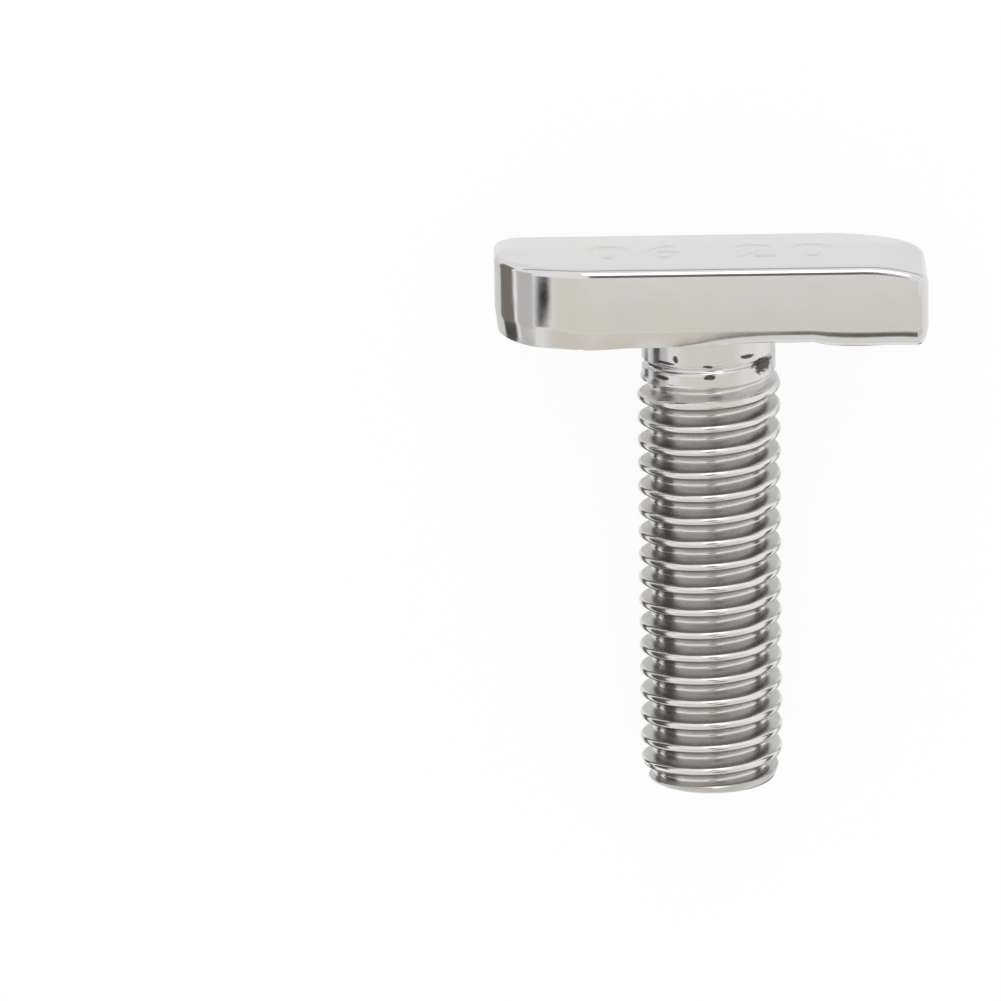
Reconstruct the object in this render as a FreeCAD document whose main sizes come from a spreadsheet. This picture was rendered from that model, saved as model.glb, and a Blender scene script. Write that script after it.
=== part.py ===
"""A forged stainless T-slot bolt, M6 x 20, lying on its side as it comes to rest.

The bolt is one solid. Its own frame has the underside of the head at z = 0, the head above it
and the shank running down to the point. X is the head's long axis, and the two broad corners
stand at -X -Y and +X +Y, so that the head can be turned in its slot. The head's top isn't quite
level: it falls from the front, -Y, to the back. Lengths are in millimetres.
"""

import FreeCAD, Part
import math
import os

import Sketcher
from FreeCAD import Placement, Rotation, Vector

NODE = "t_bolt"

# Driving dimensions
DIMENSIONS = {
    "head_length": 18.0,
    "head_width": 8.0,
    "front_thickness": 3.3,
    "back_thickness": 2.7,
    "broad_corner": 4.2,
    "small_corner": 1.25,
    "tight_corner": 0.5,
    "rim_fillet": 0.35,
    "foot_chamfer": 0.45,
    "shank_length": 20.0,
    "neck_diameter": 5.6,
    "neck_length": 2.15,
    "throat_chamfer": 0.3,
    "shoulder_length": 0.55,
    "thread_diameter": 6.0,
    "thread_pitch": 1.0,
    "thread_angle": 60.0,
    "groove_start": 2.77,
    "runout_turns": 1.1,
    "runout_growth": 0.45,
    "point_diameter": 5.3,
    "point_length": 1.0,
}

# The metric profile: the crest's flat and the mouth between two crests in parts of the pitch,
# and the rolled root's depth in parts of the height of the full triangle
CREST_FLAT = 1 / 8
GROOVE_MOUTH = 7 / 8
ROOT_DEPTH = 17 / 24
# The blank's circle is drawn as this many arcs, so that the crest is made of short pieces
CREST_ARCS = 16
# How far the groove's cutter stands out of the blank, and how far it runs past the point
CUTTER_MARGIN = 0.05
CUTTER_OVERRUN = 1.0
# How a sketch's constraints name its two axes, and its origin as an axis and the number of a point
H_AXIS = -1
V_AXIS = -2
ORIGIN = (-1, 1)


def make_sheet(doc):
    """The spreadsheet that holds the driving dimensions, one alias to a cell."""
    sheet = doc.addObject("Spreadsheet::Sheet", "Dimensions")
    for row, (alias, value) in enumerate(DIMENSIONS.items(), start=1):
        sheet.set(f"A{row}", alias)
        sheet.set(f"B{row}", str(value))
        sheet.setAlias(f"B{row}", alias)
    doc.recompute()
    return sheet


def origin_plane(body, role):
    """One of the body's own origin planes or axes, found by its role."""
    return next(item for item in body.Origin.OriginFeatures if item.Role == role)


def new_sketch(body, name, role):
    """An empty sketch on one of the body's origin planes."""
    sketch = body.newObject("Sketcher::SketchObject", name)
    sketch.AttachmentSupport = [(origin_plane(body, role), "")]
    sketch.MapMode = "FlatFace"
    return sketch


def bind(thing, **expressions):
    """Ties properties to expressions on the spreadsheet."""
    for name, text in expressions.items():
        thing.setExpression(name, text)


def drive(sketch, constraint, name, text):
    """Adds a dimension to a sketch, names it and ties it to the spreadsheet."""
    index = sketch.addConstraint(constraint)
    sketch.renameConstraint(index, name)
    sketch.setExpression(f"Constraints.{name}", text)


def across(sketch, line, end, name, size):
    """Dimensions how far a line's end lies to the right of the axis."""
    at = sketch.getPoint(line, end)
    drive(sketch, Sketcher.Constraint("DistanceX", *ORIGIN, line, end, at.x), name, f"Dimensions.{size}")


def left(sketch, line, end, name, size):
    """Dimensions how far a line's end lies to the left of the axis."""
    at = sketch.getPoint(line, end)
    drive(sketch, Sketcher.Constraint("DistanceX", line, end, *ORIGIN, -at.x), name, f"Dimensions.{size}")


def down(sketch, line, end, name, size):
    """Dimensions how far a line's end lies below the origin."""
    at = sketch.getPoint(line, end)
    drive(sketch, Sketcher.Constraint("DistanceY", line, end, *ORIGIN, -at.y), name, f"Dimensions.{size}")


def up(sketch, line, end, name, size):
    """Dimensions how far a line's end lies above the origin."""
    at = sketch.getPoint(line, end)
    drive(sketch, Sketcher.Constraint("DistanceY", *ORIGIN, line, end, at.y), name, f"Dimensions.{size}")


def revolve(body, kind, name, sketch):
    """Adds or cuts the full turn of a section about the shank's axis."""
    turned = body.newObject(kind, name)
    turned.Profile = sketch
    turned.ReferenceAxis = (sketch, ["V_Axis"])
    turned.Angle = 360
    turned.Refine = False
    body.Document.recompute()


def closed_outline(sketch, points):
    """Draws a closed run of straight lines through the points and joins their ends."""
    lines = []
    for start, end in zip(points, points[1:] + points[:1]):
        lines.append(sketch.addGeometry(Part.LineSegment(Vector(*start, 0), Vector(*end, 0)), False))
    for line, following in zip(lines, lines[1:] + lines[:1]):
        sketch.addConstraint(Sketcher.Constraint("Coincident", line, 2, following, 1))
    return lines


def head_outline(body, size):
    """The head seen from above: four straight sides with a broad, a tight and a small corner."""
    sketch = new_sketch(body, "HeadOutline", "XY_Plane")
    x = size.head_length / 2
    y = size.head_width / 2
    # Each corner: where its sides would meet, its radius, and the angle at which its arc starts
    corners = [
        ((x, -y), float(size.tight_corner), 270),
        ((x, y), float(size.broad_corner), 0),
        ((-x, y), float(size.small_corner), 90),
        ((-x, -y), float(size.broad_corner), 180),
    ]
    arcs = []
    for (cx, cy), radius, start in corners:
        centre = Vector(math.copysign(abs(cx) - radius, cx), math.copysign(abs(cy) - radius, cy), 0)
        circle = Part.Circle(centre, Vector(0, 0, 1), radius)
        arc = Part.ArcOfCircle(circle, math.radians(start), math.radians(start + 90))
        arcs.append(sketch.addGeometry(arc, False))
    sides = []
    for arc, following in zip(arcs, arcs[1:] + arcs[:1]):
        start = sketch.Geometry[arc].EndPoint
        end = sketch.Geometry[following].StartPoint
        sides.append(sketch.addGeometry(Part.LineSegment(start, end), False))
    for arc, side, following in zip(arcs, sides, arcs[1:] + arcs[:1]):
        sketch.addConstraint(Sketcher.Constraint("Tangent", arc, 2, side, 1))
        sketch.addConstraint(Sketcher.Constraint("Tangent", side, 2, following, 1))
    right, back, left_end, front = sides
    for side in (right, left_end):
        sketch.addConstraint(Sketcher.Constraint("Vertical", side))
    for side in (back, front):
        sketch.addConstraint(Sketcher.Constraint("Horizontal", side))
    across(sketch, right, 1, "Right", "head_length / 2")
    up(sketch, back, 1, "Back", "head_width / 2")
    left(sketch, left_end, 1, "Left", "head_length / 2")
    down(sketch, front, 1, "Front", "head_width / 2")
    names = ("tight_corner", "broad_corner", "small_corner", "broad_corner")
    for arc, name, end in zip(arcs, names, ("FrontRight", "BackRight", "BackLeft", "FrontLeft")):
        radius = sketch.Geometry[arc].Radius
        drive(sketch, Sketcher.Constraint("Radius", arc, radius), f"Corner{end}", f"Dimensions.{name}")
    return sketch


def slope_section(body, size):
    """The wedge that is taken off the slab's top, which falls from the front to the back."""
    sketch = new_sketch(body, "SlopeSection", "YZ_Plane")
    half_width = size.head_width / 2
    front = float(size.front_thickness)
    back = float(size.back_thickness)
    points = [(-half_width, front), (half_width, back), (half_width, front)]
    slope, wall, level = closed_outline(sketch, points)
    sketch.addConstraint(Sketcher.Constraint("Horizontal", level))
    sketch.addConstraint(Sketcher.Constraint("Vertical", wall))
    left(sketch, slope, 1, "Front", "head_width / 2")
    up(sketch, slope, 1, "FrontTop", "front_thickness")
    across(sketch, wall, 1, "Back", "head_width / 2")
    up(sketch, wall, 1, "BackTop", "back_thickness")
    return sketch


def facing(shape, direction):
    """The name of the flat face that looks most nearly along a direction."""
    flat = {}
    for number, face in enumerate(shape.Faces, start=1):
        if isinstance(face.Surface, Part.Plane):
            flat[f"Face{number}"] = face.normalAt(0, 0).dot(direction)
    return max(flat, key=flat.get)


def make_head(body, size):
    """The forged head: a slab with rounded corners, thinner at the back, rounded over on top."""
    slab = body.newObject("PartDesign::Pad", "HeadSlab")
    slab.Profile = head_outline(body, size)
    bind(slab, Length="Dimensions.front_thickness")
    body.Document.recompute()
    slope = body.newObject("PartDesign::Pocket", "HeadSlope")
    slope.Profile = slope_section(body, size)
    slope.Type = "ThroughAll"
    slope.Midplane = True
    body.Document.recompute()
    foot = body.newObject("PartDesign::Chamfer", "HeadFoot")
    foot.Base = (slope, [facing(slope.Shape, Vector(0, 0, -1))])
    bind(foot, Size="Dimensions.foot_chamfer")
    body.Document.recompute()
    rim = body.newObject("PartDesign::Fillet", "HeadRim")
    rim.Base = (foot, [facing(foot.Shape, Vector(0, 0, 1))])
    bind(rim, Radius="Dimensions.rim_fillet")
    body.Document.recompute()


def make_neck(body, size):
    """The plain neck under the head, with a short cone where the two meet."""
    sketch = new_sketch(body, "NeckSection", "XZ_Plane")
    radius = size.neck_diameter / 2
    throat = float(size.throat_chamfer)
    bottom = -float(size.neck_length)
    inside = size.back_thickness / 2
    wide = radius + throat
    points = [(radius, -throat), (radius, bottom), (0, bottom), (0, inside), (wide, inside), (wide, 0)]
    wall, floor, axis, top, outer, slope = closed_outline(sketch, points)
    for line in (floor, top):
        sketch.addConstraint(Sketcher.Constraint("Horizontal", line))
    for line in (wall, axis, outer):
        sketch.addConstraint(Sketcher.Constraint("Vertical", line))
    sketch.addConstraint(Sketcher.Constraint("PointOnObject", axis, 1, V_AXIS))
    sketch.addConstraint(Sketcher.Constraint("PointOnObject", slope, 1, H_AXIS))
    across(sketch, wall, 1, "Neck", "neck_diameter / 2")
    across(sketch, slope, 1, "Throat", "neck_diameter / 2 + Dimensions.throat_chamfer")
    down(sketch, wall, 1, "ThroatFoot", "throat_chamfer")
    down(sketch, floor, 1, "Foot", "neck_length")
    up(sketch, axis, 2, "Root", "back_thickness / 2")
    revolve(body, "PartDesign::Revolution", "Neck", sketch)


def make_blank(body, size):
    """The rolled length before its thread: a round bar from the neck to the point."""
    sketch = new_sketch(body, "BlankCircle", "XY_Plane")
    radius = size.thread_diameter / 2
    circle = Part.Circle(Vector(0, 0, 0), Vector(0, 0, 1), radius)
    step = 2 * math.pi / CREST_ARCS
    arcs = []
    for number in range(CREST_ARCS):
        arc = Part.ArcOfCircle(circle, number * step, (number + 1) * step)
        arcs.append(sketch.addGeometry(arc, False))
    for arc, following in zip(arcs, arcs[1:]):
        sketch.addConstraint(Sketcher.Constraint("Coincident", arc, 2, following, 1))
    for arc in arcs:
        sketch.addConstraint(Sketcher.Constraint("Coincident", arc, 3, *ORIGIN))
    for arc in arcs[:-1]:
        sketch.addConstraint(Sketcher.Constraint("Angle", arc, step))
    sketch.addConstraint(Sketcher.Constraint("PointOnObject", arcs[0], 1, H_AXIS))
    sketch.addConstraint(Sketcher.Constraint("PointOnObject", arcs[-1], 2, H_AXIS))
    drive(sketch, Sketcher.Constraint("Radius", arcs[0], radius), "Crest", "Dimensions.thread_diameter / 2")
    bind(sketch, **{".AttachmentOffset.Base.z": "-Dimensions.neck_length"})
    blank = body.newObject("PartDesign::Pad", "Blank")
    blank.Profile = sketch
    blank.Reversed = True
    blank.Refine = False
    bind(blank, Length="Dimensions.shank_length - Dimensions.neck_length")
    body.Document.recompute()


def make_cones(body, size):
    """Turns the blank down to the neck at one end and to the point at the other."""
    sketch = new_sketch(body, "ConeSection", "XZ_Plane")
    neck = size.neck_diameter / 2
    crest = size.thread_diameter / 2
    point = size.point_diameter / 2
    clear = crest + CUTTER_MARGIN
    top = -float(size.neck_length)
    foot = top - size.shoulder_length
    end = -float(size.shank_length)
    start = end + size.point_length
    shoulder = closed_outline(sketch, [(neck, top), (clear, top), (crest, foot)])
    tip = closed_outline(sketch, [(point, end), (crest, start), (clear, end)])
    for line in (shoulder[0], tip[2]):
        sketch.addConstraint(Sketcher.Constraint("Horizontal", line))
    across(sketch, shoulder[0], 1, "Neck", "neck_diameter / 2")
    down(sketch, shoulder[0], 1, "NeckDepth", "neck_length")
    across(sketch, shoulder[1], 1, "NeckClear", f"thread_diameter / 2 + {CUTTER_MARGIN}")
    across(sketch, shoulder[2], 1, "Foot", "thread_diameter / 2")
    down(sketch, shoulder[2], 1, "FootDepth", "neck_length + Dimensions.shoulder_length")
    across(sketch, tip[0], 1, "Point", "point_diameter / 2")
    down(sketch, tip[0], 1, "PointDepth", "shank_length")
    across(sketch, tip[1], 1, "Start", "thread_diameter / 2")
    down(sketch, tip[1], 1, "StartDepth", "shank_length - Dimensions.point_length")
    across(sketch, tip[2], 1, "PointClear", f"thread_diameter / 2 + {CUTTER_MARGIN}")
    revolve(body, "PartDesign::Groove", "Cones", sketch)


def groove_section(body, size):
    """The trapezium between two crests: flanks at the thread angle and a flat root."""
    sketch = new_sketch(body, "GrooveSection", "XZ_Plane")
    pitch = float(size.thread_pitch)
    crest = size.thread_diameter / 2
    slope = math.tan(math.radians(size.thread_angle / 2))
    depth = ROOT_DEPTH * pitch / 2 / slope
    mouth = GROOVE_MOUTH * pitch / 2 + CUTTER_MARGIN * slope
    bottom = GROOVE_MOUTH * pitch / 2 - depth * slope
    middle = -float(size.groove_start)
    outside = -(crest + CUTTER_MARGIN)
    root = -(crest - depth)
    points = [
        (outside, middle + mouth),
        (root, middle + bottom),
        (root, middle - bottom),
        (outside, middle - mouth),
    ]
    upper, flat, lower, outer = closed_outline(sketch, points)
    for line in (flat, outer):
        sketch.addConstraint(Sketcher.Constraint("Vertical", line))
    pitch_text = "Dimensions.thread_pitch"
    slope_text = "tan(Dimensions.thread_angle / 2)"
    depth_text = f"{ROOT_DEPTH} * {pitch_text} / 2 / {slope_text}"
    mouth_text = f"{GROOVE_MOUTH / 2} * {pitch_text} + {CUTTER_MARGIN} * {slope_text}"
    bottom_text = f"{GROOVE_MOUTH / 2} * {pitch_text} - {depth_text} * {slope_text}"
    left(sketch, upper, 1, "Outside", f"thread_diameter / 2 + {CUTTER_MARGIN}")
    left(sketch, flat, 1, "Root", f"thread_diameter / 2 - {depth_text}")
    down(sketch, upper, 1, "MouthTop", f"groove_start - ({mouth_text})")
    down(sketch, outer, 1, "MouthFoot", f"groove_start + {mouth_text}")
    down(sketch, flat, 1, "RootTop", f"groove_start - ({bottom_text})")
    down(sketch, lower, 1, "RootFoot", f"groove_start + {bottom_text}")
    return sketch


def cut_helix(body, name, section, mode, **expressions):
    """Sweeps the groove's section along a helix about the shank's axis and cuts it away."""
    cut = body.newObject("PartDesign::SubtractiveHelix", name)
    cut.Profile = section
    cut.ReferenceAxis = (section, ["V_Axis"])
    cut.Mode = mode
    cut.HasBeenEdited = True
    cut.Refine = False
    bind(cut, **expressions)
    return cut


def make_thread(body, size):
    """The rolled thread: one groove down past the point, and its run-out up towards the neck."""
    section = groove_section(body, size)
    body.Document.recompute()
    length = f"(Dimensions.shank_length - Dimensions.groove_start + {CUTTER_OVERRUN})"
    groove = cut_helix(
        body,
        "Groove",
        section,
        "pitch-turns-angle",
        Pitch="Dimensions.thread_pitch",
        Turns=f"{length} / Dimensions.thread_pitch",
    )
    groove.Reversed = True
    body.Document.recompute()
    cut_helix(
        body,
        "Runout",
        section,
        "height-turns-growth",
        Height="Dimensions.runout_turns * Dimensions.thread_pitch",
        Turns="Dimensions.runout_turns",
        Growth="Dimensions.runout_growth",
    )
    body.Document.recompute()


def lie_down(body, size):
    """Lays the bolt on its back side, where the head's lower rim and the last full crest touch."""
    half_width = size.head_width / 2
    crest = size.thread_diameter / 2
    # The crest passes the back of the shank three quarters of a pitch below the groove's start
    first = size.groove_start + 0.75 * size.thread_pitch
    flat = CREST_FLAT * size.thread_pitch / 2
    room = size.shank_length - size.point_length - flat - first
    touch = first + math.floor(room / size.thread_pitch) * size.thread_pitch + flat
    lean = math.atan2(half_width - crest, touch + size.foot_chamfer)
    turn = Rotation(Vector(1, 0, 0), math.degrees(lean) - 90)
    lowest = turn.multVec(Vector(0, half_width, size.foot_chamfer)).z
    # The top falls more than the bolt leans, so the head's far point is on the front rim's arc
    slope = math.atan2(size.front_thickness - size.back_thickness, size.head_width)
    below = size.rim_fillet * (math.tan(slope) + 1 / math.cos(slope))
    rim = Vector(0, size.rim_fillet - half_width, size.front_thickness - below)
    far = turn.multVec(rim).y + size.rim_fillet
    tip = turn.multVec(Vector(0, -size.point_diameter / 2, -size.shank_length)).y
    body.Placement = Placement(Vector(0, -(far + tip) / 2, -lowest), turn)


def check(doc, body):
    """Stops before anything is written if a feature failed or the bolt isn't one sound solid."""
    for item in doc.Objects:
        if {"Invalid", "Error"} & set(item.State):
            raise RuntimeError(f"{item.Name} failed")
    shape = body.Shape
    if shape.isNull() or not shape.isValid() or len(shape.Solids) != 1:
        raise RuntimeError("the bolt isn't one sound solid")


def main():
    doc = FreeCAD.newDocument("TSlotBolt")
    size = make_sheet(doc)
    body = doc.addObject("PartDesign::Body", NODE)
    body.Label = NODE
    make_head(body, size)
    make_neck(body, size)
    make_blank(body, size)
    make_cones(body, size)
    make_thread(body, size)
    lie_down(body, size)
    doc.recompute()
    check(doc, body)
    os.makedirs("parts", exist_ok=True)
    body.Shape.exportStep(f"parts/{NODE}.step")


main()
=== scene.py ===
"""The looks of a forged and polished T-slot bolt, M6 x 20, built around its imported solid.

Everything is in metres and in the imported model's frame. The bolt is shaped upright, with the
underside of its head at z = 0, and is then laid down on its back side as the solid lies.
"""

import math

import bmesh
import bpy
from bpy.props import FloatProperty, FloatVectorProperty, IntProperty, PointerProperty, StringProperty
from mathutils import Matrix, Vector
from mathutils.bvhtree import BVHTree


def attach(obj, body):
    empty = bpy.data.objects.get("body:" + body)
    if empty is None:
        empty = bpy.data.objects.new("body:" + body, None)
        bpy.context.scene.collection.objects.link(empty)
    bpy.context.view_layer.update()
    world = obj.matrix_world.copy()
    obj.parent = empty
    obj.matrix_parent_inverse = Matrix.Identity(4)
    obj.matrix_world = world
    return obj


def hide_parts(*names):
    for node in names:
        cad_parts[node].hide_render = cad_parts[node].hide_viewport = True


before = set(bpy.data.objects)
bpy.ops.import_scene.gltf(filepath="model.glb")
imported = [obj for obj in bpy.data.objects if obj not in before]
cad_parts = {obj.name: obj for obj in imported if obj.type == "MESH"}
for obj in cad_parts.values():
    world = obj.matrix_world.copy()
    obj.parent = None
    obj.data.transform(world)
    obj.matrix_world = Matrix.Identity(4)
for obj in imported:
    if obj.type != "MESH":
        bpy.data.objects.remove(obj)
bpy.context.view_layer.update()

bl_info = {
    "name": "T-slot bolt",
    "version": (1, 0, 0),
    "blender": (4, 5, 0),
    "location": "3D View > Sidebar > T-slot bolt",
    "description": "Builds a polished T-slot bolt, its finish and a small photo stage",
    "category": "Object",
}

NODE = "t_bolt"
BODY = "root"
MM = 0.001
IMAGE_SIZE = 1001
SENSOR_MM = 36.0
RIGHT = (1, 0, 0)
BACK = (0, 1, 0)
UP = (0, 0, 1)
# Points closer than this are one point
SAME = 2e-6
# A face whose normal rises or falls by more than this counts as level, one that rises by more than
# this belongs to the top or its rim, and one that falls by more than this to the lower rim
LEVEL = 0.9
RISES = 0.02
FALLS = 0.05
SMOOTH_ANGLE = math.radians(40)

# The metric thread: the crest's flat in parts of the pitch, here and in the bolt's source, the
# groove's depth in parts of the height of the full triangle, and the flank's lean from the plane
# across the bolt
CREST_FLAT = 0.22
SOURCE_FLAT = 0.125
GROOVE_DEPTH = 0.635
FLANK_LEAN = math.radians(30)
# How far below the groove's start a crest stands, in pitches: at the right of the bolt, and the
# source's first one at its back
CREST_LAG = 0.91
FIRST_CREST = 0.75
# How many faces round a crest's edge, a root's corner and along a flank
ARC_FACES = 3
FLANK_FACES = 4
# Teeth more than the shank needs, for the cuts at its ends
SPARE_TEETH = 3
# How much of the throat's arc is left under the head, so that the two meet at an angle
THROAT_SHARE = 0.9

# Faces round the head's corners and its rims
BROAD_FACES = 24
SMALL_FACES = 12
TIGHT_FACES = 8
RIM_FACES = 7
# Cuts across the foot, and how wide a ring round the underside goes with it, in foot roundings
FOOT_CUTS = 30
FOOT_RING = 1.5
# The foot is a bevel at the front left: how far it leans in for its height, and how much taller it
# is there than the rounding at the back
BEVEL_LEAN = 0.25
FOOT_RISE = 0.7
# Where the bevel turns round, right of the middle, and where it ends toward the back, both in
# millimetres, and how much farther back it goes at the left end
FOOT_ROUND = (-2.0, 4.0)
FOOT_END = (-3.2, -0.5)
FOOT_CORNER = (6.0, 8.0)
CORNER_REACH = 3.5
# Where the lip begins and is full, in millimetres right and left of the middle
LIP_RIGHT = (4.3, 5.0)
LIP_LEFT = (-2.0, 9.0)
# Small waves along the foot, in parts of its rounding, and along the lip, in millimetres, and how
# fast they go, in radians for a millimetre
FOOT_WAVE = 0.08
FOOT_WAVE_PACE = (1.9, 0.83)
LIP_WAVE = 0.015
LIP_WAVE_PACE = 2.3
# Where the top sinks, in millimetres right and toward the front, and the cuts that let it, in
# millimetres right and toward the back
SINK_RIGHT = (6.3, 9.0)
SINK_FRONT = (-1.0, 3.6)
SINK_ACROSS = (6.3, 6.6, 6.9, 7.2, 7.5, 7.8, 8.1, 8.4, 8.7)
SINK_ALONG = (-3.4, -2.8, -2.2, -1.6, -1.0, -0.4, 0.2)
# How wide the numbers are beside the typeface's own, and the room round them in stamp walls
NUMBER_STRETCH = 0.9
NUMBER_ROOM = 1.5

# Where the finish changes, in millimetres up from the underside: onto the shank and the thread
ON_SHANK = (0.05, -0.1)
ON_THREAD = (-2.2, -3.0)
# The same in millimetres out from the axis: onto the crests, and the outer and inner ends of a flank
ON_CREST = (2.88, 2.95)
FLANK_OUT = (2.93, 2.86)
FLANK_IN = (2.46, 2.54)
# Where the painted shade on the flanks that face the point begins and ends, in turns up from a crest
SHADE_FROM = (0.67, 0.74)
SHADE_TO = (0.94, 0.88)
# Where the painted shade on those flanks grows darker toward the right, in millimetres right, and how
# much
WEDGE_RIGHT = (1.2, 2.3)
WEDGE_SHARE = 0.8
# Dark spots on the front of the neck: millimetres right of the axis and up from the underside,
# half their width and half their height
SPOTS = (
    (2.16, -1.48, 0.40, 0.36),
    (1.58, -0.95, 0.34, 0.10),
    (-1.42, -1.0, 0.15, 0.15),
    (-1.9, -1.24, 0.42, 0.07),
    (-0.1, -1.25, 0.22, 0.06),
    (-0.05, -1.71, 0.26, 0.10),
    (-2.25, -1.56, 0.36, 0.08),
    (-2.0, -1.9, 0.3, 0.10),
)
# The spots' soft edge, in parts of their size, their raggedness and how it is drawn out
SPOT_EDGE = (1.2, 0.5)
SPOT_RAG = 3.2
SPOT_STRETCH = (1, 1, 1.7)
# Where the spots begin and are full, in millimetres toward the back, and how dense the dark spots and
# the painted shade are at most
SPOT_FRONT = (-0.3, -0.8)
DARK_SPOTS_AND_SHADE_SHARE = 0.92
# The ranges of noise over which the steel's colour drifts, the film thins and the polish fogs
DRIFT_EDGE = (0.38, 0.62)
FILM_EDGE = (0.4, 0.7)
FOG_EDGE = (0.3, 0.7)
# The film where it is thinnest
THIN_FILM = 0.75
# What fog, film, and the dark spots and painted shade add to the steel's roughness
FOG_ROUGHNESS = (-0.015, 0.02)
FILM_ROUGHNESS = 0.1
DARK_SPOTS_AND_SHADE_ROUGHNESS = 0.2
# Heights of the steel's relief, in millimetres, and how its polishing lines are drawn out
SWELL = 0.016
RIPPLE = 0.0016
LINES = 0.0002
GRAIN = 0.00012
SHANK_GRAIN = 0.0006
LINE_STRETCH = (0.5, 9.0, 9.0)

# The floor in metres, and how much of it is plain white to the camera and to the steel
FLOOR_SIZE = 4.0
FLOOR_SHOWN = 0.93
FLOOR_IN_STEEL = 0.4
# Where the room is dark and where it is pale, on a ball round the bolt, from the point to the head
ROOM_EDGE = (-1.0, 0.3)
# The lamp's place, and how near and how far the camera sees, in metres
LAMP_PLACE = Vector((0.02, 0.42, 0.40))
NEAREST_SEEN = 0.01
FARTHEST_SEEN = 10.0
# Cards seen only by the steel, square to a line from the head: degrees to the left of the bolt's
# front and up from its cross-section, degrees across and up, millimetres away, colour, soft edges
FLAGS = (
    ("camera_flag", (0.0, 11.0), (20.0, 40.0), 300.0, (0.15, 0.14, 0.12), 0.2),
    ("front_flag", (0.0, -19.0), (116.0, 18.0), 60.0, (0.74, 0.725, 0.63), 0.25),
    ("low_flag", (0.0, -39.5), (116.0, 27.0), 62.0, (0.705, 0.655, 0.585), 0.2),
    ("foot_flag", (-14.0, -40.0), (24.0, 22.0), 60.0, (0.14, 0.13, 0.11), 0.3),
)
# Upright cards beside the bolt: millimetres to its right, from the point to the head, up from the
# floor, colour, soft edges
STRIPS = (
    ("corner_card", -20.0, (3.3, 8.6), (9.4, 18.9), (0.03, 0.03, 0.035), 0.4),
    ("lilac_card", -32.0, (-4.0, 16.0), (0.5, 13.0), (0.56, 0.545, 0.55), 0.1),
    ("head_card", -13.0, (6.5, 14.0), (-0.6, 4.9), (0.20, 0.185, 0.16), 0.12),
    ("neck_card", -13.1, (2.6, 9.0), (0.3, 5.0), (0.08, 0.075, 0.07), 0.15),
    ("shank_card", -13.0, (-18.0, 3.8), (-1.5, 8.4), (0.08, 0.075, 0.07), 0.15),
    ("right_card", 13.0, (-18.0, 3.8), (-1.0, 4.4), (0.14, 0.135, 0.13), 0.15),
)
# Cards that lie just above the floor: millimetres right, toward the head, colour, soft edges
MATS = (
    # A painted shadow: a grey card standing in for the floor's shadow just beyond the head, seen only
    # in the steel
    ("painted_shadow_beyond_head", (-16.0, 16.0), (11.7, 22.0), (0.84, 0.84, 0.845), 0.04),
    ("far_mat", (-60.0, 60.0), (25.0, 80.0), (0.40, 0.40, 0.40), 0.1),
    # A painted shadow: a grey card standing in for the floor's shadow by the head's left end, seen only
    # in the steel
    ("painted_shadow_by_end", (-24.0, -9.2), (2.0, 13.0), (0.70, 0.70, 0.70), 0.05),
    ("left_mat", (-8.2, -5.2), (-17.0, 7.6), (0.08, 0.075, 0.07), 0.12),
    ("right_mat", (5.3, 7.4), (-17.0, 7.6), (0.46, 0.455, 0.44), 0.2),
)
MAT_HEIGHT = 0.3
STANDING = Matrix.Rotation(math.pi / 2, 4, "Y")
LYING = Matrix.Identity(4)


def length(name, description, default_mm):
    """A length that the user can change, its default given in millimetres."""
    return FloatProperty(
        name=name,
        description=description,
        default=default_mm * MM,
        subtype="DISTANCE",
        unit="LENGTH",
        precision=5,
    )


def angle(name, description, degrees):
    """An angle that the user can change, its default given in degrees."""
    return FloatProperty(
        name=name,
        description=description,
        default=math.radians(degrees),
        subtype="ANGLE",
        unit="ROTATION",
    )


def colour(name, description, default):
    """A colour that the user can change."""
    return FloatVectorProperty(
        name=name,
        description=description,
        default=default,
        size=3,
        min=0.0,
        max=1.0,
        subtype="COLOR",
    )


def amount(name, description, default):
    """A share or strength that the user can change."""
    return FloatProperty(name=name, description=description, default=default, min=0.0)


class BoltSizes(bpy.types.PropertyGroup):
    """The sizes of the bolt."""

    head_length: length("Head length", "Along the head's long axis", 18.0)
    head_width: length("Head width", "Across the head", 8.0)
    front_thickness: length("Front thickness", "The head's thickness at its front", 3.3)
    back_thickness: length("Back thickness", "The head's thickness at its back", 2.7)
    broad_corner: length("Broad corner", "Radius of the two corners that let the head turn", 4.2)
    small_corner: length("Small corner", "Radius of the corner at the back left", 1.25)
    tight_corner: length("Tight corner", "Radius of the corner at the front right", 0.5)
    rim: length("Rim", "Rounding of the head's top rim", 0.35)
    foot: length("Foot", "Rounding of the head's lower rim at its back", 0.45)
    lip: length("Lip", "How far the forging's lip hangs below the underside's front corners", 0.2)
    sink: length("Sink", "How far the top sinks at its front right corner", 0.46)
    offset: length("Head offset", "How far the head sits right of the shank's axis", 0.06)
    shank_length: length("Shank length", "From the head's underside to the point", 20.0)
    neck_diameter: length("Neck diameter", "Across the plain neck", 5.6)
    neck_length: length("Neck length", "From the underside to the shoulder", 2.15)
    throat: length("Throat", "Rounding between the neck and the head", 0.35)
    shoulder: length("Shoulder", "From the neck down to the full crest", 0.55)
    thread_diameter: length("Thread diameter", "Across the crests", 6.0)
    pitch: length("Pitch", "From one crest to the next", 1.0)
    groove_start: length("Groove start", "Where the groove has its full depth, below the head", 2.77)
    runout_rise: length("Run-out rise", "How far the groove rises in each turn of its run-out", 0.2)
    crest_round: length("Crest rounding", "Rounding of the crest's edges", 0.14)
    root_round: length("Root rounding", "Rounding of the root's corners", 0.12)
    point_diameter: length("Point diameter", "Across the point", 5.3)
    point_length: length("Point length", "Length of the coned point", 1.0)
    point_round: length("Point rounding", "Rounding of the point's edge", 0.12)
    steps: IntProperty(name="Thread steps", description="Faces in one turn", default=88, min=24)


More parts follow.
